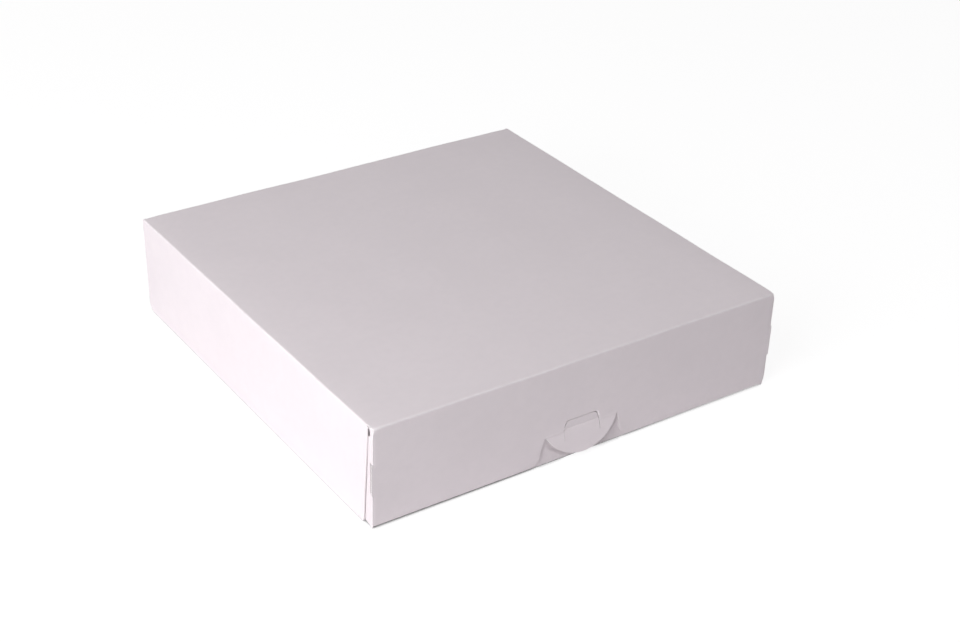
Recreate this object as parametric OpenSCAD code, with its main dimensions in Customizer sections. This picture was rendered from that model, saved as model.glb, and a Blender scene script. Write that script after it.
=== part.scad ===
// Flat cake box folded from one sheet of coated paperboard. The lid hangs on the rear wall of a
// glued tray. Its front flap and side flaps cover the tray's walls from outside, the front
// flap's ears are tucked behind the side flaps, and the front flap carries a half-round latch
// tab. The origin is the centre of the tray's underside, and the front faces -Y.

/* [Box] */
// Width over the two side flaps
box_w = 220.5; // [180:0.5:300]
// Depth from the front flap to the rear wall
box_d = 220; // [180:0.5:300]
// Height from the table to the top of the lid
box_h = 50; // [42:0.5:90]
// Thickness of the paperboard
board = 0.5; // [0.35:0.05:0.6]
// Outer radius of a fold
fold_r = 0.8; // [0.7:0.05:1.2]

/* [Clearances] */
// Gap between a side flap and the ear behind it
ear_gap = 0.15; // [0.1:0.05:0.4]
// Gap between an ear and the tray's side wall
wall_gap = 0.45; // [0.2:0.05:1]
// Gap between the front flap and the tray's front wall
front_gap = 1.5; // [1.3:0.1:2.5]
// Gap between the lid panel and the tray's front and side walls
top_gap = 0.3; // [0.1:0.05:1]
// Gap left along a crease that turns
crease_gap = 0.06; // [0.04:0.01:0.12]
// Width of a die cut between two edges
cut_w = 0.3; // [0.15:0.05:0.5]

/* [Front flap] */
// Height of the front flap's lower edge above the table
front_drop = 1.3; // [0.6:0.1:3]
// Radius of the front flap's lower corners
front_r = 1.5; // [1:0.25:4]
// Length of an ear behind the front flap
ear_len = 38; // [15:1:80]
// Slope of an ear's upper and lower edges towards its end, in degrees
ear_slope = 6; // [0:1:12]
// Gap between an ear's upper edge and the lid panel
ear_top_gap = 0.7; // [0.3:0.1:3]
// Length of the slot cut along an ear's fold
ear_slot_len = 15.5; // [6:0.5:22]
// Height of the slot's middle above the table
ear_slot_z = 24.7; // [16:0.1:28]
// Width of the slot behind the front flap
ear_slot_w = 1.3; // [0.5:0.1:2]
// How far the front flap's cut edge stands out at the slot
ear_slot_lip = 0.4; // [0:0.05:0.5]

/* [Side flaps] */
// Height of a side flap's lower edge above the table
side_drop = 0.4; // [0.2:0.1:3]
// Setback of a side flap's front edge from the front, at the top
setback_top = 3.3; // [2:0.1:8]
// Setback of a side flap's front edge from the front, at the foot
setback_foot = 6.1; // [3:0.1:12]
// Radius of a side flap's front lower corner
side_front_r = 1.2; // [0.5:0.1:5]
// Setback of a side flap's rear edge from the rear, at the foot
side_rear = 2.2; // [0.5:0.1:8]
// Radius of a side flap's rear lower corner
side_rear_r = 4.5; // [1:0.25:8]
// Radius of a side flap's front upper corner
side_top_r = 1.8; // [0.8:0.1:3]
// Height of the straight step above that corner
side_top_step = 1.2; // [0.6:0.1:3]
// Radius of the relief cut in an ear's upper edge, beside the side flap
relief_r = 1.8; // [0.8:0.1:2.5]
// Depth of the relief cut's centre below the top
relief_drop = 2.8; // [2:0.1:3.5]
// Setback of the relief cut's centre from a side flap's front edge
relief_back = 0.5; // [0:0.1:1.5]

/* [Latch] */
// Offset of the latch from the middle of the front
latch_x = -1; // [-10:0.5:10]
// Height of the latch's crease above the table
latch_z = 14.8; // [14:0.1:20]
// Width of the half-round tab at its crease
tab_w = 39.6; // [30:0.2:60]
// Depth of the half-round tab below its crease
tab_depth = 12.4; // [8:0.1:13]
// Outward tilt of the half-round tab at rest, in degrees
tab_tilt = 13.5; // [5:0.5:25]
// Width of the tongue at the crease
tongue_w = 19.8; // [12:0.2:26]
// Height of the tongue above the crease
tongue_h = 4.7; // [3.5:0.1:6]
// Lean of the tongue's sides, in degrees
tongue_lean = 20; // [0:1:25]
// Radius of the tongue's upper corners
tongue_r = 2.4; // [0.5:0.1:3]
// Length of the slits below the tongue's ends
slit_len = 4.7; // [1:0.1:7]
// Lean of the notch's sides, in degrees
notch_lean = 14.8; // [5:0.2:25]
// Radius where the notch's sides meet the flap's lower edge
notch_r = 5; // [1:0.25:7]
// Room around the tongue in the slot of the tray's front wall
catch_gap = 0.5; // [0.3:0.1:1]

/* [Tray] */
// Length of a glue tab along the front or rear wall
glue_len = 20; // [8:1:40]
// Slope of a glue tab's ends, in degrees
glue_slope = 12; // [0:1:30]
// Gap between a glue tab and the tray's floor
glue_lift = 1.2; // [0.8:0.1:4]

/* [Hidden] */
arc_steps = 10;
front_y = -box_d / 2;
rear_y = box_d / 2;
side_x = box_w / 2;
ear_x = side_x - board - ear_gap;
tray_x = ear_x - board - wall_gap;
tray_y = front_y + board + front_gap;
panel_z = box_h - board;
wall_z = panel_z - top_gap;
latch_y = front_y + board / 2;
beyond = 2 * fold_r;
inner_r = fold_r - board;
white = [0.93, 0.92, 0.93];
shade = [0.86, 0.85, 0.87];

// Points of an arc about c, from angle a0 to angle a1
function arc(c, r, a0, a1) =
    [for (i = [0 : arc_steps]) let (a = a0 + (a1 - a0) * i / arc_steps) c + r * [cos(a), sin(a)]];

// Rectangle with rounded corners
function rounded(lo, hi, r) = concat(
    arc([hi.x - r, hi.y - r], r, 0, 90),
    arc([lo.x + r, hi.y - r], r, 90, 180),
    arc([lo.x + r, lo.y + r], r, 180, 270),
    arc([hi.x - r, lo.y + r], r, 270, 360));

// The same outline point by point on the other side of x = 0
function mirrored(points) =
    [for (i = [len(points) - 1 : -1 : 0]) [-points[i].x, points[i].y]];

// Extrudes an outline drawn in Y and Z along X, from x0 to x1
module along_x(x0, x1) {
    translate([x0, 0, 0]) rotate([90, 0, 90]) linear_extrude(x1 - x0) children();
}

// Extrudes an outline drawn in X and Z along Y, from y0 to y1
module along_y(y0, y1) {
    translate([0, y1, 0]) rotate([90, 0, 0]) linear_extrude(y1 - y0) children();
}

// Extrudes an outline drawn in X and Y along Z, from z0 to z1
module along_z(z0, z1) {
    translate([0, 0, z0]) linear_extrude(z1 - z0) children();
}

// Block between two corners
module block(lo, hi) {
    translate(lo) cube(hi - lo);
}

// The tray's outer form, drawn in by an inset. It runs on upwards
module tray_form(inset, r) {
    lo = [-tray_x + inset, tray_y + inset, inset];
    hi = [tray_x - inset, rear_y - inset, box_h];
    intersection() {
        along_z(lo.z, hi.z) polygon(rounded([lo.x, lo.y], [hi.x, hi.y], r));
        along_x(lo.x, hi.x) polygon(rounded([lo.y, lo.z], [hi.y, hi.z + beyond], r));
        along_y(lo.y, hi.y) polygon(rounded([lo.x, lo.z], [hi.x, hi.z + beyond], r));
    }
}

// Four glue tabs folded in from the side walls
module glue_tabs() {
    x_wall = tray_x - board;
    z0 = board + glue_lift;
    z1 = wall_z - board;
    drop = glue_len * tan(glue_slope);
    outline = [[x_wall, z0], [x_wall, z1], [x_wall - glue_len, z1 - drop], [x_wall - glue_len, z0 + drop]];
    for (y0 = [tray_y + board, rear_y - 2 * board]) {
        along_y(y0, y0 + board) polygon(outline);
        along_y(y0, y0 + board) polygon(mirrored(outline));
    }
}

// Slot in the tray's front wall that the tongue turns into
module tongue_slot() {
    half = tongue_w / 2 + catch_gap;
    block([latch_x - half, tray_y - beyond, latch_z - board / 2 - catch_gap / 2],
        [latch_x + half, tray_y + board + beyond / 2, latch_z + tongue_h + catch_gap]);
}

module tray() {
    color(shade) {
        difference() {
            union() {
                difference() {
                    tray_form(0, fold_r);
                    tray_form(board, inner_r);
                    block([-side_x, front_y, wall_z], [side_x, rear_y - board, box_h + beyond]);
                    block([-side_x, front_y, panel_z - crease_gap], [side_x, rear_y + beyond, box_h + beyond]);
                }
                glue_tabs();
            }
            tongue_slot();
        }
    }
}

// The lid's outer form with the front flap and both ears, drawn in by an inset
module lid_form(inset, r) {
    lo = [-ear_x + inset, front_y + inset];
    hi = [ear_x - inset, rear_y + beyond];
    intersection() {
        along_z(-beyond, box_h - inset) polygon(rounded(lo, hi, r));
        along_x(lo.x, hi.x) polygon(rounded([lo.y, -2 * beyond], [hi.y, box_h - inset], r));
    }
}

// Half of the tongue's outline, right of its middle, from the crease up, grown by a margin
function tongue_half(margin) = let (
    w = tongue_w / 2 + margin,
    h = tongue_h + margin,
    cx = w - (h - tongue_r) * tan(tongue_lean) - tongue_r / cos(tongue_lean))
    concat([[w, 0]], arc([cx, h - tongue_r], tongue_r, tongue_lean, 90));

// Right half of the notch's outline, from the flap's lower edge up to the shoulder
function notch_half() = let (
    cz = front_drop + notch_r,
    foot = tab_w / 2 + cut_w + (latch_z - cz) * tan(notch_lean),
    cx = foot + notch_r / cos(notch_lean))
    concat(arc([cx, cz], notch_r, 270, 180 + notch_lean),
        [[tab_w / 2 + cut_w, latch_z], [tab_w / 2 + cut_w, latch_z + board / 2 + crease_gap]]);

// The notch and the tongue's window together
module latch_cut() {
    notch = notch_half();
    window = [for (p = tongue_half(cut_w)) p + [0, latch_z]];
    translate([latch_x, 0]) {
        polygon(concat([[notch[0].x, -beyond]], notch, mirrored(notch), [[-notch[0].x, -beyond]]));
        polygon(concat(window, mirrored(window)));
    }
}

// Outline of the front flap, seen from the front
module front_outline() {
    foot = arc([ear_x - front_r, front_drop + front_r], front_r, 270, 360);
    side = concat(foot, [[ear_x, box_h]]);
    difference() {
        polygon(concat(side, mirrored(side)));
        latch_cut();
    }
}

// Outline of an ear, seen from the side, from inside its fold to its end
module ear_outline() {
    y0 = front_y + fold_r / 2;
    y1 = front_y + ear_len;
    rise = ear_len * tan(ear_slope);
    z0 = front_drop;
    z1 = panel_z - ear_top_gap;
    difference() {
        polygon([[y0, z0], [y0, z1], [y1, z1 - rise], [y1, z0 + rise]]);
        translate([front_y + setback_top + relief_back, box_h - relief_drop]) circle(relief_r, $fn = 48);
    }
}

// Both ears, each from inside its fold outwards
module ears() {
    along_x(ear_x - fold_r, ear_x) ear_outline();
    along_x(-ear_x, fold_r - ear_x) ear_outline();
}

// The slot along both ears' folds
module ear_slots() {
    z0 = ear_slot_z - ear_slot_len / 2;
    z1 = ear_slot_z + ear_slot_len / 2;
    for (x_mid = [-ear_x, ear_x]) {
        block([x_mid - beyond, front_y - beyond, z0], [x_mid + beyond, front_y + board + ear_slot_w, z1]);
    }
}

// The front flap's straight cut edge, which stands out at each slot
module slot_lips() {
    z0 = ear_slot_z - ear_slot_len / 2;
    z1 = ear_slot_z + ear_slot_len / 2;
    block([-ear_x - ear_slot_lip, front_y, z0], [-ear_x + beyond, front_y + board, z1]);
    block([ear_x - beyond, front_y, z0], [ear_x + ear_slot_lip, front_y + board, z1]);
}

module lid() {
    color(white) {
        difference() {
            intersection() {
                difference() {
                    lid_form(0, fold_r);
                    lid_form(board, inner_r);
                }
                union() {
                    block([-ear_x, front_y, panel_z], [ear_x, rear_y, box_h]);
                    along_y(front_y, front_y + fold_r) front_outline();
                    ears();
                }
            }
            ear_slots();
        }
        slot_lips();
    }
}

// Outline of a side flap seen from the right side, with Y to the right
module side_outline() {
    y_top = front_y + setback_top;
    hinge_y = y_top + side_top_r;
    foot_y = front_y + setback_foot + side_front_r;
    heel_y = rear_y - side_rear - side_rear_r;
    polygon(concat(
        [[rear_y - crease_gap, box_h], [hinge_y, box_h]],
        arc([hinge_y, box_h - side_top_step - side_top_r], side_top_r, 90, 180),
        arc([foot_y, side_drop + side_front_r], side_front_r, 180, 270),
        arc([heel_y, side_drop + side_rear_r], side_rear_r, 270, 360)));
}

// Right side flap with the rounded fold along its top
module side_flap() {
    intersection() {
        along_x(side_x - board, side_x) side_outline();
        along_y(front_y, rear_y) polygon(rounded([side_x - 2 * board, -board], [side_x, box_h], board));
    }
}

module right_side_flap() {
    color(white) side_flap();
}

module left_side_flap() {
    color(white) mirror([1, 0, 0]) side_flap();
}

// The half-round below the crease, cut by the two slits beside the tongue
module half_round() {
    r = (pow(tab_w / 2, 2) + pow(tab_depth, 2)) / (2 * tab_depth);
    difference() {
        intersection() {
            translate([0, r - tab_depth]) circle(r, $fn = 96);
            translate([-tab_w / 2, -tab_depth]) square([tab_w, tab_depth]);
        }
        for (side = [-1, 1]) {
            translate([side * (tongue_w + cut_w) / 2 - cut_w / 2, -slit_len]) square([cut_w, slit_len]);
        }
    }
}

// The tab's own plane, with its crease at the origin, turned outwards to its place on the flap
module on_crease(tilt) {
    translate([latch_x, latch_y, latch_z]) rotate([-tilt, 0, 0]) children();
}

module latch_tab() {
    tongue = tongue_half(0);
    color(shade) on_crease(tab_tilt) {
        along_y(-board / 2, board / 2) {
            half_round();
            polygon(concat(tongue, mirrored(tongue)));
        }
    }
}

tray();
lid();
left_side_flap();
right_side_flap();
latch_tab();
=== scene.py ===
# A flat cake box of white coated paperboard. Each piece is a sheet that is cut to its outline as a
# flat blank, given the board's thickness and folded in code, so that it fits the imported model.
import math

import bmesh
import bpy
import numpy as np
from mathutils import Matrix, Vector


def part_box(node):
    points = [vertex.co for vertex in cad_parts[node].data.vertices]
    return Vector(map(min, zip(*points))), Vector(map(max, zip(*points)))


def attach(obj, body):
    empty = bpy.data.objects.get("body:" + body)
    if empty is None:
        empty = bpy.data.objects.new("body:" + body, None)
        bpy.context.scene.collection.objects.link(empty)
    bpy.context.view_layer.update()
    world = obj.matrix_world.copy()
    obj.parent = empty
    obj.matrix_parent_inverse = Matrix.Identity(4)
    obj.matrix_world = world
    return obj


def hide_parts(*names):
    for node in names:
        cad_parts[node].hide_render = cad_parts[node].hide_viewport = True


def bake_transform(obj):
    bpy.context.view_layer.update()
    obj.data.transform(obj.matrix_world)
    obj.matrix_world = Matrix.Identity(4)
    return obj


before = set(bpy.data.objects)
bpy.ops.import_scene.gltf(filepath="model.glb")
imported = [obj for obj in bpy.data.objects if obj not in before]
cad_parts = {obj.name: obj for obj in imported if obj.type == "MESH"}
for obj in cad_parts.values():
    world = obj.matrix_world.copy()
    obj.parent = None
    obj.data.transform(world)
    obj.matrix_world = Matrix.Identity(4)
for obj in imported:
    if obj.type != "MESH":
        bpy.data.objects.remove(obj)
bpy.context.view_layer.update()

MM = 0.001


def box_mm(node):
    """Lowest and highest corner of a node, in millimetres."""
    return [np.array(corner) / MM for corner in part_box(node)]


# Places from the frame, in millimetres
tray_lo, tray_hi = box_mm("tray")
lid_lo, lid_hi = box_mm("lid")
flap_lo, flap_hi = box_mm("right_side_flap")
TOP = lid_hi[2]
FRONT = lid_lo[1]
REAR = tray_hi[1]
SIDE_X = flap_hi[0]
TRAY_X = tray_hi[0]
TRAY_Y = tray_lo[1]
FRONT_FOOT = lid_lo[2]
SIDE_FRONT = flap_lo[1]
SIDE_FOOT = flap_lo[2]

# The board and its folds, in millimetres. NEAR is the tolerance for points that lie on a line.
BOARD = 0.5
FOLD_R = 0.8
QUARTER = FOLD_R * math.pi / 2
EAR_GAP = 0.15
EAR_X = SIDE_X - BOARD - EAR_GAP
WALL_GAP = 0.3
WALL_TOP = TOP - BOARD - WALL_GAP
CREASE_GAP = 0.06
CUT = 0.15
NEAR = 0.01

# Ears of the front flap: pressed beside their folds, raised behind the front fold, bitten by a round
# relief and sprung outwards. The reach of the spring is over the panel, along the ear and down.
EAR_FOLD_R = 0.45
EAR_PRESSED = 0.12
EAR_PRESSED_AT = 0.15
EAR_PRESSED_WIDTH = 0.4
EAR_PRESSED_TOP = TOP - 4
EAR_PRESSED_FADE = 2.0
EAR_LINE = EAR_X - EAR_FOLD_R
EAR_TOP = TOP - FOLD_R
EAR_DIP = (SIDE_FRONT + 0.7, TOP - 0.9)
EAR_RAISE = 0.22
EAR_RAISE_FROM = 2.5
EAR_RAISE_FADE = 1.6
EAR_MARGIN = 0.1
EAR_TOE = 0.5
EAR_SPRING = {-1: 0.55, 1: 0.3}
EAR_SPRING_REACH = (12.0, 3.2, 2.0)
EAR_END = FRONT + 38
EAR_SLOPE = math.tan(math.radians(6))
SLOT_Z = (24.7 - 15.5 / 2, 24.7 + 15.5 / 2)
SLOT_BACK = FRONT + BOARD + 2.1
SLOT_LIP = 0.38
SLOT_NICK = 0.15
RELIEF = (SIDE_FRONT + 1.9, TOP - 3.35)
RELIEF_R = 2.4

# Side flaps: rounded head, front edge that slants back to the foot, and round heel
SIDE_TOP_R = 0.7
SIDE_STEP = 0.35
SIDE_SETBACK = 0.5
SIDE_HINGE = SIDE_FRONT + SIDE_SETBACK + SIDE_TOP_R
SIDE_FRONT_FOOT = FRONT + 6.5
SIDE_FRONT_R = 1.2
SIDE_REAR = REAR - 2.2
SIDE_REAR_R = 4.5
SIDE_LEAN = 0.35

# Latch in the front flap: half-round tab, tongue, slits, notch and window. What is pressed has a
# depth and a width, and a negative depth stands out.
LATCH_X = -1.0
LATCH_Z = 14.8
TAB_HALF = 19.8
TAB_DEPTH = 12.4
TAB_TILT = 13.5
TONGUE_HALF = 9.9
TONGUE_H = 4.7
TONGUE_LEAN = math.radians(20)
TONGUE_R = 2.4
TONGUE_BEND = 14
TONGUE_CREASE = 0.8
SLIT = 4.7
NOTCH_LEAN = math.radians(14.8)
NOTCH_R = 5.0
SHOULDER = 2.0
LATCH_FOLD_R = 0.3
TONGUE_PRESSED = 0.2
SHOULDER_RIDGE = -0.2
PRESSED_WIDTH = 0.4
TONGUE_SINK = 1
WINDOW_SHADE = 0.2
RIM_PRESSED = 0.35
NOTCH_PRESSED = 0.18
RIM_WIDTH = 0.4
RIM_FADE = 2.0
TONGUE_TRIM = 0.15
TONGUE_ROOM = 1.1
TONGUE_GAP = 0.5

# Strip of board that bends between the tray's rear wall and the lid
STRIP = 4.0

# Folds of the tray, and its glue tabs
FRONT_LINE = TRAY_Y + FOLD_R
REAR_LINE = REAR - FOLD_R
SIDE_LINE = TRAY_X - FOLD_R
GLUE_LENGTH = 20.0
GLUE_SLOPE = math.tan(math.radians(12))
GLUE_LIFT = 1.2
GLUE_FILM = 0.03
GLUE_FRONT = TRAY_Y + BOARD + FOLD_R + GLUE_FILM
GLUE_REAR = REAR - BOARD - FOLD_R - GLUE_FILM
GLUE_LO = BOARD + GLUE_LIFT
GLUE_HI = WALL_TOP - BOARD

# Outward bow of the tray's front wall, which leaves the half-round room to be pressed in
BOW = 1.3
BOW_HALF = 200.0
BOW_FLOOR = 40.0
BOW_TOP = 22.0
BOW_EDGE = 1.5
BOW_START = 0.6
PRESS_ROOM = 1.4
PRESS_SLOPE = 0.105
TAB_RADIUS = (TAB_HALF ** 2 + TAB_DEPTH ** 2) / (2 * TAB_DEPTH)

# Fineness of the meshes
GRID = 6.0
ARC_STEPS = 10
FOLD_STEPS = 8
GUARD = 0.4
SHARP_ANGLE = math.radians(30)
MERGE = 1e-5

# Extra cut lines where the board is pressed, crushed or bowed: distances, or start, step and count
CORNER_LINES = (2.0, 3.5)
CORNER_HEIGHTS = (2.2, 3.5)
CREASE_LINES = (-0.75, -0.5, -0.25, 0.25, 0.5, 0.75)
TAB_BEND_LINES = (0, -0.02, -0.05, -0.08, -1.5)
TONGUE_BEND_LINES = (0, 0.02, 0.04)
TONGUE_MIDDLE = 3.0
FOOT_LINES = (1, 1, 4)
NOTCH_LINES = (5, 1, 10)
NOTCH_SIDE_LINES = (19.9, 0.2, 20)
WINDOW_LINES = (SHOULDER + 0.4, 0.4, 6)
WINDOW_TOP_LINES = (TONGUE_H + 0.2, 0.2, 6)
WINDOW_SIDE_LINES = (8, 0.2, 16)
BOW_LINES = (-25, 1, 51)
BOW_HEIGHTS = (1.5, 0.75, 16)


def down(edge, z):
    """Blank coordinate of height z on a panel that is folded down from the top at an edge."""
    return edge - FOLD_R + QUARTER + TOP - FOLD_R - z


def rise(edge, z):
    """Blank coordinate of height z on a wall that is folded up from the floor at an edge."""
    return edge - FOLD_R + QUARTER + z - FOLD_R


def front_v(z):
    """Blank coordinate of height z on the front flap and its ears."""
    return -down(-FRONT, z)


def ear_u(y):
    """Blank coordinate of depth y on an ear."""
    return EAR_LINE + EAR_FOLD_R * math.pi / 2 + y - FRONT - EAR_FOLD_R


def spaced(start, step, count):
    """Evenly spaced distances."""
    return [start + step * k for k in range(count)]


def arc(centre, radius, start, stop, steps=ARC_STEPS):
    """Points of an arc, with its angles in radians."""
    angles = np.linspace(start, stop, steps + 1)
    return [(centre[0] + radius * math.cos(a), centre[1] + radius * math.sin(a)) for a in angles]


def mirrored(points):
    """The same points on the other side of the middle, in the opposite order."""
    return [(-u, v) for u, v in reversed(points)]


def bitten(start, stop, centre, radius):
    """A straight edge with the arc of a round cut that crosses it."""
    start, stop, centre = (np.array(p, float) for p in (start, stop, centre))
    along = (stop - start) / np.linalg.norm(stop - start)
    middle = (centre - start) @ along
    foot = start + middle * along - centre
    half = math.sqrt(radius ** 2 - foot @ foot)
    first, last = foot - half * along, foot + half * along
    a0 = math.atan2(first[1], first[0])
    a1 = math.atan2(last[1], last[0]) + 2 * math.pi
    return [tuple(start)] + arc(centre, radius, a0, a1, 3 * ARC_STEPS) + [tuple(stop)]


def fold(points, chosen, line, out, up, degrees, radius=FOLD_R, rigid=False):
    """Folds the chosen points about a line. A negative angle folds towards up."""
    side = 1 if degrees > 0 else -1
    angle = math.radians(abs(degrees))
    line, out, up = (np.array(v, float) for v in (line, out, up))
    rel = points[chosen] - line
    d, n = rel @ out, rel @ up
    turn = np.full(len(d), angle) if rigid else np.clip(d / radius, 0, angle)
    past = d - turn * radius
    arm = side * radius + n
    cos, sin = np.cos(turn), side * np.sin(turn)
    across = rel - np.outer(d, out) - np.outer(n, up)
    moved = line - side * radius * up + across
    moved += np.outer(past * cos + arm * sin, out) + np.outer(arm * cos - past * sin, up)
    points[chosen] = moved


# Unevenness of the folded board, in millimetres
CROWN = 0.3
CROWN_WIDTH = 12.0
CROWN_DEPTH = 10.0
WAVE = 0.05
WAVE_PHASES = (0.7, 2.6, 0.0)
CRUSH = 0.45
CRUSH_REACH = 3.2
DROOP = 0.7
RUB = 1.5
RUB_REACH = 6.0
RUB_DEPTH = 3.0
RUB_H = 5.0
WAVES = ((0.061, 0.043, 0.3), (0.037, -0.088, 1.9), (0.113, 0.021, 4.1))


def waves(a, b, phase):
    """Smooth low waves over a face."""
    return WAVE * sum(np.sin(p * a + q * b + r + phase) for p, q, r in WAVES)


def settle(points):
    """Lets the folded board crown and wave as real board does, the same for every piece."""
    x, y, z = points.T
    side = np.clip((np.abs(x) - SIDE_X + CROWN_WIDTH) / CROWN_WIDTH, 0, 1)
    high = np.clip((z - TOP + CROWN_DEPTH) / CROWN_DEPTH, 0, 1)
    lift = np.clip(z / TOP, 0, 1)
    moved = points.copy()
    moved[:, 0] += waves(y, z, WAVE_PHASES[0]) * lift
    moved[:, 1] += waves(x, z, WAVE_PHASES[1]) * lift
    moved[:, 2] += waves(x, y, WAVE_PHASES[2]) * high ** 2 + CROWN * (1 - side ** 2) * high ** 2
    crush_corners(moved)
    return moved


def crush_corners(points):
    """Pushes the two upper front corners in, and rubs the right one round at its foot."""
    x, y, z = points.T.copy()
    away = np.sqrt((np.abs(x) - SIDE_X) ** 2 + (y - FRONT) ** 2 + (z - TOP) ** 2)
    push = CRUSH * np.clip(1 - away / CRUSH_REACH, 0, 1) ** 2
    for axis, sign in ((0, -np.sign(x)), (1, 1), (2, -1)):
        points[:, axis] += sign * push
    near = np.clip(1 - (SIDE_X - x) / RUB_REACH, 0, 1) * np.clip(1 - (y - FRONT) / RUB_DEPTH, 0, 1)
    rubbed = (near * np.clip(1 - (z - FRONT_FOOT) / RUB_H, 0, 1)) ** 2
    points[:, 0] -= RUB * rubbed
    points[:, 2] -= DROOP * rubbed


def cut_lines(lo, hi, folds, extra):
    """Where a blank is cut into cells: an even grid, close steps over the folds, extra lines."""
    fine = list(extra)
    for at, radius in folds:
        sign = 1 if at > 0 else -1
        quarter = radius * math.pi / 2
        steps = [quarter * i / FOLD_STEPS for i in range(FOLD_STEPS + 1)]
        fine += [at + sign * s for s in [-GUARD] + steps + [quarter + GUARD]]
    even = [GRID * k for k in range(math.ceil(lo / GRID), math.floor(hi / GRID) + 1)]
    even = [e for e in even if all(abs(e - f) > GUARD / 2 for f in fine)]
    return sorted(f for f in fine + even if lo < f < hi)


def blank(outline, cuts, holes):
    """The flat blank as a mesh of cells, without the cells in the holes."""
    bm = bmesh.new()
    bm.faces.new([bm.verts.new((u, v, 0)) for u, v in outline])
    for axis in (0, 1):
        normal = Vector((1 - axis, axis, 0))
        for at in cuts[axis]:
            geom = bm.verts[:] + bm.edges[:] + bm.faces[:]
            bmesh.ops.bisect_plane(bm, geom=geom, plane_co=normal * at, plane_no=normal, dist=MERGE)
    gone = []
    for face in bm.faces:
        u, v, _ = face.calc_center_median()
        if any(u0 < u < u1 and v0 < v < v1 for u0, v0, u1, v1 in holes):
            gone.append(face)
    bmesh.ops.delete(bm, geom=gone, context="FACES")
    bm.verts.index_update()
    return bm


def sheet(name, outline, place, folds=((), ()), extra=((), ()), holes=(), dent=None):
    """A closed sheet of board: coated face, inner face and cut edges, folded by place()."""
    outline = np.array(outline, float)
    cuts = [cut_lines(outline[:, i].min(), outline[:, i].max(), folds[i], extra[i]) for i in (0, 1)]
    flat = blank(outline, cuts, holes)
    uv = np.array([v.co[:2] for v in flat.verts])
    depth = dent(uv) if dent else np.zeros(len(uv))
    points = np.vstack([settle(place(uv, depth)), settle(place(uv, depth + BOARD))])
    count = len(uv)
    faces, kinds = [], []
    for face in flat.faces:
        ring = [v.index for v in face.verts]
        faces += [ring, [count + i for i in reversed(ring)]]
        kinds += [0, 1]
    for edge in flat.edges:
        if edge.is_boundary:
            loop = edge.link_loops[0]
            a, b = loop.vert.index, loop.link_loop_next.vert.index
            faces.append([b, a, count + a, count + b])
            kinds.append(2)
    flat.free()
    mesh = bpy.data.meshes.new(name)
    mesh.from_pydata((points * MM).tolist(), [], faces)
    for material in (coated_board(), inner_board(), cut_board()):
        mesh.materials.append(material)
    mesh.polygons.foreach_set("material_index", kinds)
    wear = mesh.attributes.new("fold_wear", "FLOAT", "POINT")
    wear.data.foreach_set("value", np.tile(fold_wear(uv, folds), 2).astype(np.float32))
    tidy(mesh)
    piece = bpy.data.objects.new(name, mesh)
    bpy.context.scene.collection.objects.link(piece)
    return piece


def fold_wear(uv, folds):
    """How near each blank point is to the middle of a fold, from 0 to 1."""
    wear = np.zeros(len(uv))
    for axis in (0, 1):
        for at, radius in folds[axis]:
            middle = at + math.copysign(radius * math.pi / 4, at)
            wear = np.maximum(wear, np.exp(-((uv[:, axis] - middle) / radius) ** 2))
    return wear


def tidy(mesh):
    """Turns the faces outwards, and shades them smooth up to the cut edges."""
    bm = bmesh.new()
    bm.from_mesh(mesh)
    bmesh.ops.recalc_face_normals(bm, faces=bm.faces)
    for face in bm.faces:
        face.smooth = True
    bm.to_mesh(mesh)
    bm.free()
    mesh.set_sharp_from_angle(angle=SHARP_ANGLE)


# Materials
made = {}


class Nodes:
    """Adds and links shader nodes of one material or world."""

    def __init__(self, owner):
        self.owner = owner
        owner.use_nodes = True
        self.tree = owner.node_tree
        self.tree.nodes.clear()

    def add(self, kind, inputs=None, **settings):
        """Adds a node. An input is a value, or another node's output to link."""
        node = self.tree.nodes.new(kind)
        for key, value in settings.items():
            setattr(node, key, value)
        for key, value in (inputs or {}).items():
            if isinstance(value, bpy.types.NodeSocket):
                self.tree.links.new(value, node.inputs[key])
            else:
                node.inputs[key].default_value = value
        return node

    def noise(self, where, scale, detail=2.0, roughness=0.5):
        inputs = {"Vector": where, "Scale": scale, "Detail": detail, "Roughness": roughness}
        return self.add("ShaderNodeTexNoise", inputs).outputs["Fac"]

    def span(self, value, lo, hi, to_lo, to_hi):
        """A value's range stretched to another range."""
        inputs = {"Value": value, "From Min": lo, "From Max": hi, "To Min": to_lo, "To Max": to_hi}
        return self.add("ShaderNodeMapRange", inputs).outputs["Result"]

    def math(self, operation, *values, **settings):
        """A sum, product or other operation on one or two values."""
        node = self.add("ShaderNodeMath", dict(enumerate(values)), operation=operation, **settings)
        return node.outputs[0]

    def mix(self, factor, first, second):
        """Two colours mixed by a factor."""
        node = self.add("ShaderNodeMix", data_type="RGBA")
        for key, value in ((0, factor), (6, first), (7, second)):
            if isinstance(value, bpy.types.NodeSocket):
                self.tree.links.new(value, node.inputs[key])
            else:
                node.inputs[key].default_value = value
        return node.outputs[2]

    def bump(self, height, distance, below=None):
        """Bumped normal, on top of the bump below if there is one."""
        inputs = {"Height": height, "Distance": distance, "Strength": 1.0}
        if below:
            inputs["Normal"] = below
        return self.add("ShaderNodeBump", inputs).outputs["Normal"]

    def finish(self, shader):
        """Links the material's output."""
        self.add("ShaderNodeOutputMaterial", {"Surface": shader})
        return self.owner


def once(build):
    """Makes a material the first time that it is asked for."""
    def get():
        if build.__name__ not in made:
            made[build.__name__] = build()
        return made[build.__name__]
    return get


COAT_WHITE = (0.925, 0.855, 0.888, 1)
COAT_SHADE = (0.905, 0.837, 0.870, 1)
FOLD_WHITE = (0.940, 0.885, 0.912, 1)


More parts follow.
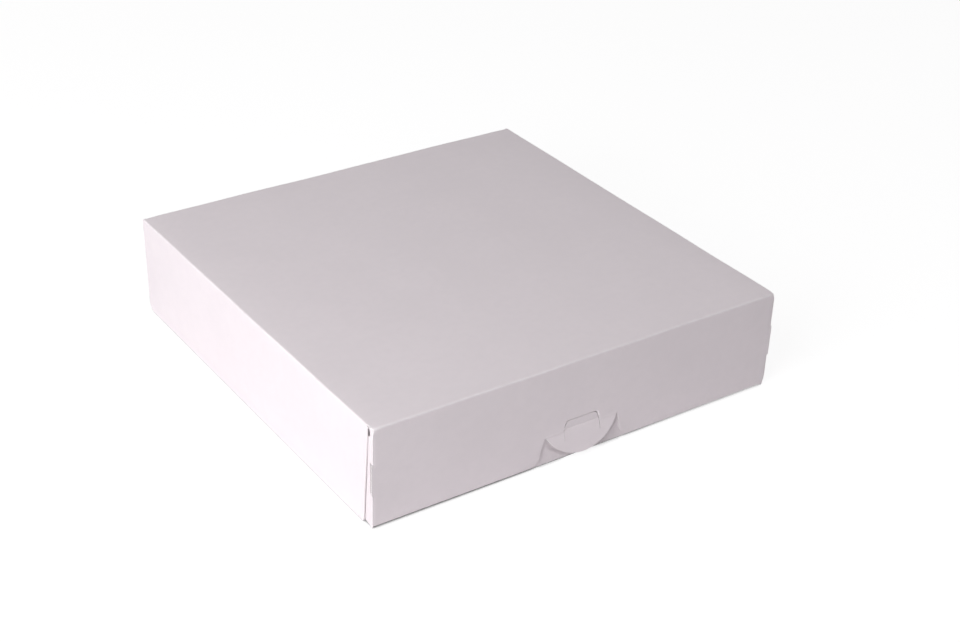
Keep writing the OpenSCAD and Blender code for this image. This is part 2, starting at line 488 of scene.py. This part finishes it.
@once
def coated_board():
    """Coated face: smooth and near white, faintly mottled, with a soft sheen and worn folds."""
    n = Nodes(bpy.data.materials.new("coated_board"))
    where = n.add("ShaderNodeTexCoord").outputs["Object"]
    clouds = n.noise(where, 28, 3, 0.55)
    mottle = n.noise(where, 240, 4, 0.6)
    grain = n.noise(where, 1900, 3, 0.65)
    wear = n.add("ShaderNodeAttribute", attribute_name="fold_wear").outputs["Fac"]
    blend = n.math("MULTIPLY", clouds, mottle)
    colour = n.mix(n.span(blend, 0.15, 0.35, 0, 1), COAT_SHADE, COAT_WHITE)
    worn = n.math("MULTIPLY", wear, n.span(mottle, 0.35, 0.65, 0.3, 1))
    colour = n.mix(worn, colour, FOLD_WHITE)
    rough = n.span(n.math("ADD", grain, wear), 0.3, 1.7, 0.44, 0.66)
    normal = n.bump(grain, 0.000012, n.bump(mottle, 0.00003, n.bump(clouds, 0.00018)))
    inputs = {"Base Color": colour, "Roughness": rough, "Normal": normal, "Specular IOR Level": 0.35,
              "Coat Weight": 0.06, "Coat Roughness": 0.45}
    return n.finish(n.add("ShaderNodeBsdfPrincipled", inputs).outputs["BSDF"])


@once
def inner_board():
    """Uncoated inner face: matt, a little greyer, with short fibres that run across the sheet."""
    n = Nodes(bpy.data.materials.new("inner_board"))
    where = n.add("ShaderNodeTexCoord").outputs["Object"]
    long_way = n.add("ShaderNodeMapping", {"Vector": where, "Scale": (0.25, 1, 0.6)}).outputs["Vector"]
    fibres = n.noise(long_way, 1500, 5, 0.7)
    clouds = n.noise(where, 60, 3, 0.6)
    colour = n.mix(n.span(clouds, 0.35, 0.65, 0, 1), (0.79, 0.755, 0.745, 1), (0.83, 0.80, 0.79, 1))
    colour = n.mix(n.span(fibres, 0.55, 0.75, 0, 0.5), colour, (0.74, 0.70, 0.68, 1))
    normal = n.bump(fibres, 0.00003, n.bump(clouds, 0.0001))
    inputs = {"Base Color": colour, "Roughness": n.span(fibres, 0.3, 0.7, 0.78, 0.9),
              "Normal": normal, "Specular IOR Level": 0.25}
    return n.finish(n.add("ShaderNodeBsdfPrincipled", inputs).outputs["BSDF"])


@once
def cut_board():
    """Cut edge: the board's layers lie along it as fine lines, with a slightly ragged surface."""
    n = Nodes(bpy.data.materials.new("cut_board"))
    where = n.add("ShaderNodeTexCoord").outputs["Object"]
    layers = n.noise(where, 5200, 4, 0.7)
    colour = n.mix(n.span(layers, 0.35, 0.65, 0, 1), (0.88, 0.84, 0.85, 1), (0.95, 0.92, 0.93, 1))
    inputs = {"Base Color": colour, "Roughness": n.span(layers, 0.3, 0.7, 0.8, 0.95),
              "Normal": n.bump(layers, 0.00003), "Specular IOR Level": 0.2}
    return n.finish(n.add("ShaderNodeBsdfPrincipled", inputs).outputs["BSDF"])


# Pieces
UP = (0, 0, 1)
DOWN = (0, 0, -1)
AHEAD = (0, -1, 0)
BEHIND = (0, 1, 0)


def window_x(height, margin=CUT):
    """Half width of the tongue's outline at a height above its crease, grown by a margin."""
    return TONGUE_HALF + margin - height * math.tan(TONGUE_LEAN)


def tongue_top(margin):
    """Round upper corner of the tongue's outline right of its middle, grown by a margin."""
    h = TONGUE_H + margin
    cx = window_x(h - TONGUE_R, margin) - TONGUE_R / math.cos(TONGUE_LEAN)
    return arc((cx, h - TONGUE_R), TONGUE_R, TONGUE_LEAN, math.pi / 2)


def notch_half():
    """Right half of the notch and the window, from the flap's lower edge up to the middle."""
    cz = FRONT_FOOT + NOTCH_R
    edge = TAB_HALF + CUT
    cx = edge + (LATCH_Z - cz) * math.tan(NOTCH_LEAN) + NOTCH_R / math.cos(NOTCH_LEAN)
    side = arc((cx, cz), NOTCH_R, 1.5 * math.pi, math.pi + NOTCH_LEAN)
    shoulder = [(edge, LATCH_Z), (edge, LATCH_Z + SHOULDER), (window_x(SHOULDER), LATCH_Z + SHOULDER)]
    return side + shoulder + [(x, LATCH_Z + z) for x, z in tongue_top(CUT)]


def ear_dent(uv):
    """Pressed crease beside the ears' folds, above and below the slots."""
    u, v = np.abs(uv[:, 0]), uv[:, 1]
    beside = np.exp(-((u - EAR_LINE + EAR_PRESSED_AT) / EAR_PRESSED_WIDTH) ** 2)
    lo, hi = front_v(SLOT_Z[0] + 1), front_v(SLOT_Z[1] - 1)
    clear = np.clip(np.maximum(v - hi, lo - v) / EAR_PRESSED_FADE, 0, 1)
    return EAR_PRESSED * beside * clear * (v < front_v(EAR_PRESSED_TOP))


def window_rim(uv):
    """Edge of the window, which the die pressed in a little all round."""
    across, height = np.abs(uv[:, 0] - LATCH_X), uv[:, 1] - front_v(LATCH_Z)
    beside = (across - window_x(height)) * math.cos(TONGUE_LEAN)
    away = np.maximum(np.maximum(beside, height - TONGUE_H - CUT), 0)
    return RIM_PRESSED * np.exp(-(away / RIM_WIDTH) ** 2) * (height > SHOULDER - NEAR)


def notch_rim(uv):
    """Edges of the notch, pressed in less than the window because the tray's wall is near."""
    across, height = np.abs(uv[:, 0] - LATCH_X), uv[:, 1] - front_v(LATCH_Z)
    away = (across - TAB_HALF - CUT + height * math.tan(NOTCH_LEAN)) * math.cos(NOTCH_LEAN)
    above_arc = height + LATCH_Z - FRONT_FOOT - NOTCH_R
    ends = np.clip(-height, 0, 1) * np.clip((above_arc + RIM_FADE) / RIM_FADE, 0, 1)
    return NOTCH_PRESSED * np.exp(-(away / RIM_WIDTH) ** 2) * ends


def raise_ear_heads(points):
    """Lifts the ears' upper edges close to the top panel, behind the front flap's fold."""
    x, y, z = points.T
    ear = (np.abs(x) > EAR_X - BOARD - EAR_MARGIN) & (z < TOP - BOARD - EAR_MARGIN / 2)
    high = np.clip((z - TOP + EAR_RAISE_FROM) / EAR_RAISE_FADE, 0, 1)
    points[:, 2] += EAR_RAISE * ear * np.clip(y - FRONT - BOARD, 0, 1) * high


def ear_spring(points):
    """How far the ears' folds spring outwards, so that each ear slants in under its side flap."""
    x, y, z = points.T
    panel, ear, top = EAR_SPRING_REACH
    near = np.clip((np.abs(x) - EAR_X + panel) / panel, 0, 1) * np.clip(1 - (y - FRONT) / ear, 0, 1)
    spring = np.where(x < 0, -EAR_SPRING[-1], EAR_SPRING[1])
    return spring * near * np.clip((TOP - z) / top, 0, 1)


def lid_outline():
    """Outline of the lid's blank: panel, front flap with its notch and window, and ears."""
    ear_head = EAR_TOP - (EAR_END - FRONT) * EAR_SLOPE
    ear_line = [(EAR_X, front_v(EAR_TOP)), (ear_u(FRONT + EAR_FOLD_R), front_v(EAR_TOP))] + bitten(
        (ear_u(EAR_DIP[0]), front_v(EAR_DIP[1])), (ear_u(EAR_END), front_v(ear_head)),
        (ear_u(RELIEF[0]), front_v(RELIEF[1])), RELIEF_R)
    ear_foot = FRONT_FOOT + (EAR_END - FRONT) * EAR_SLOPE
    right = [(TRAY_X, REAR - STRIP), (TRAY_X, SIDE_HINGE), (EAR_X, SIDE_HINGE)] + ear_line
    right += [(ear_u(EAR_END), front_v(ear_foot)), (ear_u(SLOT_BACK), front_v(EAR_TOE)),
              (ear_u(FRONT + EAR_FOLD_R), front_v(EAR_TOE)), (EAR_LINE, front_v(FRONT_FOOT))]
    notch = [(u, front_v(z)) for u, z in notch_half()]
    shaded = [(u - WINDOW_SHADE * (abs(u) < TAB_HALF), v) for u, v in mirrored(notch)]
    return right + [(LATCH_X + u, v) for u, v in notch + shaded] + mirrored(right)


def lid_cuts(lip, back, slot):
    """Extra cut lines of the lid's blank."""
    columns = [lip, back, TRAY_X] + [EAR_X - c for c in CORNER_LINES]
    beside = spaced(*WINDOW_SIDE_LINES) + spaced(*NOTCH_SIDE_LINES)
    u_extra = [s * u for s in (-1, 1) for u in columns]
    u_extra += [LATCH_X + s * u for s in (-1, 1) for u in beside]
    heights = [EAR_TOP] + [TOP - h for h in CORNER_HEIGHTS]
    heights += [FRONT_FOOT + h for h in spaced(*FOOT_LINES) + spaced(*NOTCH_LINES)]
    heights += [LATCH_Z + h for h in spaced(*WINDOW_LINES) + spaced(*WINDOW_TOP_LINES)]
    v_extra = [front_v(z) for z in heights] + [FRONT + c for c in CORNER_LINES]
    v_extra += [slot[0], slot[1], slot[0] - SLOT_NICK, slot[1] + SLOT_NICK, SIDE_HINGE]
    return u_extra, v_extra


def lid_sheet():
    """Top panel, front flap and ears, with a slot behind each ear's fold that leaves a lip."""
    slot = sorted(front_v(z) for z in SLOT_Z)
    lip, back = EAR_X + SLOT_LIP, ear_u(SLOT_BACK)
    holes = [(lip, slot[0], back, slot[1])]
    holes += [(EAR_LINE, slot[1], lip, slot[1] + SLOT_NICK),
              (EAR_LINE, slot[0] - SLOT_NICK, lip, slot[0])]
    holes += [(-u1, v0, -u0, v1) for u0, v0, u1, v1 in holes]

    def place(uv, depth):
        points = np.column_stack([uv, TOP - depth])
        u, v = uv.T
        in_lip = (np.abs(u) < lip + NEAR / 2) & (v > slot[0] - NEAR) & (v < slot[1] + NEAR)
        for side in (-1, 1):
            ear = (side * u > EAR_LINE) & (v < front_v(EAR_TOP) + NEAR) & ~in_lip
            fold(points, ear, (side * EAR_LINE, 0, TOP), (side, 0, 0), UP, 90, EAR_FOLD_R)
        fold(points, v < 0, (0, FRONT + FOLD_R, TOP), AHEAD, UP, 90)
        raise_ear_heads(points)
        points[:, 0] += ear_spring(points)
        return points

    folds = (((EAR_LINE, EAR_FOLD_R), (-EAR_LINE, EAR_FOLD_R)), ((FRONT + FOLD_R, FOLD_R),))
    return sheet("lid_sheet", lid_outline(), place, folds, lid_cuts(lip, back, slot), holes,
                 lambda uv: ear_dent(uv) + window_rim(uv) + notch_rim(uv))


def side_flap_sheet(side, name):
    """Side flap with its fold and a narrow strip of the lid's panel."""
    heel = (SIDE_REAR - SIDE_REAR_R, SIDE_FOOT + SIDE_REAR_R)
    foot = (SIDE_FRONT_FOOT + SIDE_FRONT_R, SIDE_FOOT + SIDE_FRONT_R)
    head = (SIDE_HINGE, TOP - SIDE_STEP - SIDE_TOP_R)
    edge = arc(heel, SIDE_REAR_R, 0, -math.pi / 2)
    edge += arc(foot, SIDE_FRONT_R, -math.pi / 2, -math.pi)
    edge += arc(head, SIDE_TOP_R, math.pi, math.pi / 2)
    start = SIDE_X - FOLD_R
    rear = REAR - CREASE_GAP
    outline = [(TRAY_X, rear), (start, rear)] + [(down(SIDE_X, z), y) for y, z in edge]
    outline = [(side * u, v) for u, v in outline + [(TRAY_X, SIDE_HINGE)]]

    def place(uv, depth):
        points = np.column_stack([uv, TOP - depth])
        fold(points, side * uv[:, 0] > start, (side * start, 0, TOP), (side, 0, 0), UP, 90 - SIDE_LEAN)
        return points

    return sheet(name, outline, place, (((side * start, FOLD_R),), ()))


def rear_crease_strip():
    """Strip over the crease between the tray's rear wall and the lid."""
    start, stop = REAR - STRIP, down(REAR, TOP - STRIP)
    outline = [(-TRAY_X, start), (TRAY_X, start), (TRAY_X, stop), (-TRAY_X, stop)]

    def place(uv, depth):
        points = np.column_stack([uv, TOP - depth])
        fold(points, uv[:, 1] > 0, (0, REAR - FOLD_R, TOP), BEHIND, UP, 90)
        return points

    return sheet("rear_crease_strip", outline, place, ((), ((REAR - FOLD_R, FOLD_R),)))


def front_bow(points):
    """How far the tray's front wall stands out, less behind the half-round than beside it."""
    x, y, z = points.T
    outside = np.hypot(x - LATCH_X, z - LATCH_Z - TAB_RADIUS + TAB_DEPTH) - TAB_RADIUS
    beside = np.clip((np.maximum(outside, z - LATCH_Z) - BOW_START) / BOW_EDGE, 0, 1)
    behind = np.minimum(PRESS_ROOM - PRESS_SLOPE * (LATCH_Z - z), BOW)
    bow = behind + (BOW - behind) * beside
    bow *= np.clip(1 - ((x - LATCH_X) / BOW_HALF) ** 2, 0, 1)
    bow *= np.clip(1 - (y - TRAY_Y) / BOW_FLOOR, 0, 1)
    return bow * np.clip((WALL_TOP - z) / (WALL_TOP - BOW_TOP), 0, 1)


def tray_half():
    """Right half of the tray's blank, from the rear wall round to the front wall."""
    slope = GLUE_LENGTH * GLUE_SLOPE
    reach = QUARTER + GLUE_LENGTH + BOARD - FOLD_R
    lo, hi, top = (rise(TRAY_X, z) for z in (GLUE_LO, GLUE_HI, WALL_TOP))
    low, high = rise(TRAY_X, GLUE_LO + slope), rise(TRAY_X, GLUE_HI - slope)
    rear = [(TRAY_X, rise(REAR, TOP - STRIP)), (TRAY_X, REAR_LINE), (SIDE_LINE, REAR_LINE),
            (SIDE_LINE, GLUE_REAR), (lo, GLUE_REAR), (low, GLUE_REAR + reach),
            (high, GLUE_REAR + reach), (hi, GLUE_REAR), (top, GLUE_REAR)]
    front = [(top, GLUE_FRONT), (hi, GLUE_FRONT), (high, GLUE_FRONT - reach),
             (low, GLUE_FRONT - reach), (lo, GLUE_FRONT), (SIDE_LINE, GLUE_FRONT),
             (SIDE_LINE, FRONT_LINE), (TRAY_X, FRONT_LINE), (TRAY_X, -rise(-TRAY_Y, WALL_TOP))]
    return rear + front


def tray_sheet():
    """Floor, walls and the glue tabs behind the front and rear walls."""
    slot_half = TONGUE_HALF + TONGUE_GAP
    slot_v = [-rise(-TRAY_Y, z) for z in (LATCH_Z + TONGUE_H + TONGUE_GAP, LATCH_Z - TONGUE_ROOM)]
    hole = (LATCH_X - slot_half, slot_v[0], LATCH_X + slot_half, slot_v[1])
    tab_line = rise(TRAY_X, GLUE_LO)

    def place(uv, depth):
        points = np.column_stack([uv, depth])
        u, v = uv.T
        tab = np.abs(u) > tab_line - NEAR
        wall = tab | ((np.abs(u) > SIDE_LINE) & (v > FRONT_LINE + NEAR) & (v < REAR_LINE - NEAR))
        fold(points, tab & (v < 0), (0, GLUE_FRONT, 0), AHEAD, DOWN, 90)
        fold(points, tab & (v > 0), (0, GLUE_REAR, 0), BEHIND, DOWN, 90)
        for side in (-1, 1):
            fold(points, wall & (side * u > 0), (side * SIDE_LINE, 0, 0), (side, 0, 0), DOWN, 90)
        fold(points, ~wall & (v < 0), (0, FRONT_LINE, 0), AHEAD, DOWN, 90)
        fold(points, ~wall & (v > 0), (0, REAR_LINE, 0), BEHIND, DOWN, 90)
        points[:, 1] -= front_bow(points)
        return points

    lines = ((SIDE_LINE, -SIDE_LINE), (FRONT_LINE, REAR_LINE, GLUE_FRONT, GLUE_REAR))
    folds = [[(at, FOLD_R) for at in row] for row in lines]
    u_extra = [s * u for s in (-1, 1) for u in (TRAY_X, tab_line)] + [hole[0], hole[2]]
    u_extra += [LATCH_X + u for u in spaced(*BOW_LINES)]
    v_extra = slot_v + [-rise(-TRAY_Y, z) for z in spaced(*BOW_HEIGHTS)]
    right = tray_half()
    return sheet("tray_sheet", right + mirrored(right), place, folds, (u_extra, v_extra), (hole,))


def pressed_line(uv, at, depth):
    """Depth of a pressed crease along the latch, or its height where it is negative."""
    return depth * np.exp(-((uv[:, 1] - at) / PRESSED_WIDTH) ** 2)


def latch_half_round():
    """Half-round tab with the two shoulders from which it hangs."""
    centre = (0, TAB_RADIUS - TAB_DEPTH)
    tip = math.atan2(-centre[1], TAB_HALF)
    slit = TONGUE_HALF + CUT
    right = [(slit, -SLIT), (slit, 0), (window_x(SHOULDER), SHOULDER), (TAB_HALF + CUT, SHOULDER),
             (TAB_HALF + CUT, 0)] + arc(centre, TAB_RADIUS, tip, -math.pi / 2, 2 * ARC_STEPS)[:-1]
    bottom = [(0, -TAB_DEPTH)]

    def place(uv, depth):
        points = np.column_stack([LATCH_X + uv[:, 0], FRONT + depth, LATCH_Z + uv[:, 1]])
        every = np.ones(len(uv), bool)
        fold(points, every, (0, FRONT, LATCH_Z), DOWN, AHEAD, -TAB_TILT, LATCH_FOLD_R)
        return points

    crease = list(CREASE_LINES) + list(TAB_BEND_LINES) + [-SLIT]
    return sheet("latch_half_round", right + bottom + mirrored(right), place,
                 extra=((-slit, slit), crease), dent=lambda uv: pressed_line(uv, 0, SHOULDER_RIDGE))


def latch_tongue():
    """Tongue between the slits, creased a little above the line that the tab turns on."""
    right = [(TONGUE_HALF, -SLIT), (TONGUE_HALF, 0)] + tongue_top(0)

    def place(uv, depth):
        points = np.column_stack([LATCH_X + uv[:, 0], FRONT + depth, LATCH_Z + uv[:, 1]])
        above = uv[:, 1] > TONGUE_CREASE
        fold(points, above, (0, FRONT, LATCH_Z + TONGUE_CREASE), UP, AHEAD, -TONGUE_BEND, LATCH_FOLD_R)
        fold(points, uv[:, 1] > -SLIT, (0, FRONT, LATCH_Z - SLIT), UP, AHEAD, TONGUE_SINK, LATCH_FOLD_R)
        every = np.ones(len(uv), bool)
        fold(points, every, (0, FRONT, LATCH_Z), DOWN, AHEAD, -TAB_TILT, LATCH_FOLD_R, rigid=True)
        return points

    crease = [TONGUE_CREASE + s for s in CREASE_LINES + TONGUE_BEND_LINES]
    trimmed = [(u - TONGUE_TRIM, v) for u, v in right]
    return sheet("latch_tongue", trimmed + mirrored(right), place,
                 extra=((), crease + [TONGUE_MIDDLE]),
                 dent=lambda uv: pressed_line(uv, TONGUE_CREASE, TONGUE_PRESSED))


def add_pieces():
    """Builds every piece, and attaches the tray, lid and tongue to the bodies that they move with."""
    tray, lid = tray_sheet(), lid_sheet()
    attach(tray, "tray")
    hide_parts("tray")
    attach(lid, "lid")
    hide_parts("lid")
    strip = rear_crease_strip()
    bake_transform(strip)
    for side, node in ((-1, "left_side_flap"), (1, "right_side_flap")):
        flap = side_flap_sheet(side, node + "_sheet")
        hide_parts(node)
        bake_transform(flap)
    half_round, tongue = latch_half_round(), latch_tongue()
    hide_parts("latch_tab")
    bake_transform(half_round)
    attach(tongue, "latch_tab")


# Camera, fitted to the box's seven visible corners
CAMERA_AZIMUTH = -35.144
CAMERA_ELEVATION = 30.181
CAMERA_ROLL = 2.058
CAMERA_DISTANCE = 0.88626
CAMERA_TARGET = (0.02649, 0.01102, 0)
CAMERA_LENS = 65.355
SENSOR_WIDTH = 36


def add_camera():
    """Camera at the photo's angle, rolled a little as the photo is."""
    a, e, r = (math.radians(x) for x in (CAMERA_AZIMUTH, CAMERA_ELEVATION, CAMERA_ROLL))
    back = Vector((math.sin(a) * math.cos(e), -math.cos(a) * math.cos(e), math.sin(e)))
    right = Vector((math.cos(a), math.sin(a), 0))
    up = back.cross(right)
    x = right * math.cos(r) + up * math.sin(r)
    y = up * math.cos(r) - right * math.sin(r)
    data = bpy.data.cameras.new("camera")
    data.lens = CAMERA_LENS
    data.sensor_width = SENSOR_WIDTH
    data.sensor_fit = "HORIZONTAL"
    camera = bpy.data.objects.new("camera", data)
    camera.matrix_world = Matrix.Translation(Vector(CAMERA_TARGET) + back * CAMERA_DISTANCE) @ (
        Matrix((x, y, back)).transposed().to_4x4())
    bpy.context.scene.collection.objects.link(camera)
    bpy.context.scene.camera = camera


# Light: place, size and power of each soft lamp, in metres and watts
LAMPS = {
    "left_far": ((-1.60, -0.60, 0.40), 0.9, 10.2),
    "left_high": ((-0.70, -0.30, 0.70), 0.6, 3.9),
    "left_mid": ((-0.90, -0.35, 0.30), 0.6, 1.25),
    "over_front": ((-0.10, -0.50, 1.00), 0.8, 0.6),
    "overhead": ((0.00, 0.00, 1.20), 0.8, 1.35),
    "right_low": ((1.30, -0.35, 0.12), 0.7, 4.0),
    "rear_low": ((-0.40, 1.35, 0.12), 0.7, 4.0),
}
AMBIENT = (0.113, 0.107, 0.111, 1)


def add_lamp(name, place, size, power):
    """Square soft lamp that faces the middle of the floor."""
    data = bpy.data.lights.new(name, "AREA")
    data.size = size
    data.energy = power
    lamp = bpy.data.objects.new(name, data)
    lamp.location = place
    lamp.rotation_euler = (-Vector(place)).to_track_quat("-Z", "Y").to_euler()
    bpy.context.scene.collection.objects.link(lamp)


def seen_or_reflected(n):
    """1 for camera, glossy and transmission rays, else 0."""
    path = n.add("ShaderNodeLightPath").outputs
    shiny = n.math("ADD", path["Is Glossy Ray"], path["Is Transmission Ray"])
    return n.math("ADD", path["Is Camera Ray"], shiny, use_clamp=True)


def set_world():
    """White where it is seen or reflected, and a plain soft fill for everything else."""
    world = bpy.data.worlds.new("studio")
    bpy.context.scene.world = world
    n = Nodes(world)
    colour = n.mix(seen_or_reflected(n), AMBIENT, (1, 1, 1, 1))
    background = n.add("ShaderNodeBackground", {"Color": colour}).outputs[0]
    n.add("ShaderNodeOutputWorld", {"Surface": background})


FLOOR_SIZE = 6.0
FLOOR_GLOW = 0.88
SHADOW_GREY = (0.24, 0.24, 0.24, 1)
BOUNCE_GREY = (0.8, 0.79, 0.8, 1)

# Painted contact shadow: its reach, how open the sky is where it starts and ends (painted wider under
# the notch), and the places in x where the painted shadow is made lighter, with the glow that is left
# there
CONTACT_REACH = 0.004
OPEN_START = 0.17
OPEN_END = 0.58
OPEN_END_NOTCH = 0.76
NOTCH_INNER = (0.006, 0.012)
NOTCH_OUTER = (0.0215, 0.0235)
SHADOW_PAINTED_LIGHTER_LEFT = (-0.112, -0.109, 0.6)
SHADOW_PAINTED_LIGHTER_RIGHT = (0, 0.06, 0.4)


def painted_contact_shadow(n):
    """Glow of the floor, darkened by a painted contact shadow close to the object's foot."""
    open_sky = n.add("ShaderNodeAmbientOcclusion", {"Distance": CONTACT_REACH}, samples=8).outputs["AO"]
    where = n.add("ShaderNodeTexCoord").outputs["Object"]
    x = n.add("ShaderNodeSeparateXYZ", {"Vector": where}).outputs["X"]
    left = n.span(x, SHADOW_PAINTED_LIGHTER_LEFT[0], SHADOW_PAINTED_LIGHTER_LEFT[1], SHADOW_PAINTED_LIGHTER_LEFT[2], 0)
    right = n.span(x, SHADOW_PAINTED_LIGHTER_RIGHT[0], SHADOW_PAINTED_LIGHTER_RIGHT[1], 0, SHADOW_PAINTED_LIGHTER_RIGHT[2])
    aside = n.math("ABSOLUTE", n.math("SUBTRACT", x, LATCH_X * MM))
    inner = n.span(aside, *NOTCH_INNER, OPEN_END, OPEN_END_NOTCH)
    outer = n.span(aside, *NOTCH_OUTER, OPEN_END_NOTCH, OPEN_END)
    end = n.math("MINIMUM", inner, outer)
    return n.span(open_sky, OPEN_START, end, n.math("MAXIMUM", left, right), FLOOR_GLOW)


@once
def studio_floor():
    """White floor that keeps a faint real shadow, and a painted contact shadow that is darkest close to
    the object's foot.
    """
    n = Nodes(bpy.data.materials.new("studio_floor"))
    glow = n.add("ShaderNodeEmission", {"Strength": painted_contact_shadow(n)}).outputs[0]
    shadow = n.add("ShaderNodeBsdfDiffuse", {"Color": SHADOW_GREY}).outputs[0]
    seen = n.add("ShaderNodeAddShader", {0: glow, 1: shadow}).outputs[0]
    plain = n.add("ShaderNodeBsdfDiffuse", {"Color": BOUNCE_GREY}).outputs[0]
    mixed = n.add("ShaderNodeMixShader", {0: seen_or_reflected(n), 1: plain, 2: seen})
    return n.finish(mixed.outputs[0])


def add_floor():
    """Large flat floor that belongs to the stage, not to the box."""
    half = FLOOR_SIZE / 2
    mesh = bpy.data.meshes.new("floor")
    corners = [(-half, -half, 0), (half, -half, 0), (half, half, 0), (-half, half, 0)]
    mesh.from_pydata(corners, [], [(0, 1, 2, 3)])
    mesh.materials.append(studio_floor())
    floor = bpy.data.objects.new("floor", mesh)
    bpy.context.scene.collection.objects.link(floor)


bpy.context.scene.view_settings.view_transform = "Standard"
add_camera()
add_pieces()
add_floor()
set_world()
for lamp_name, lamp in LAMPS.items():
    add_lamp(lamp_name, *lamp)
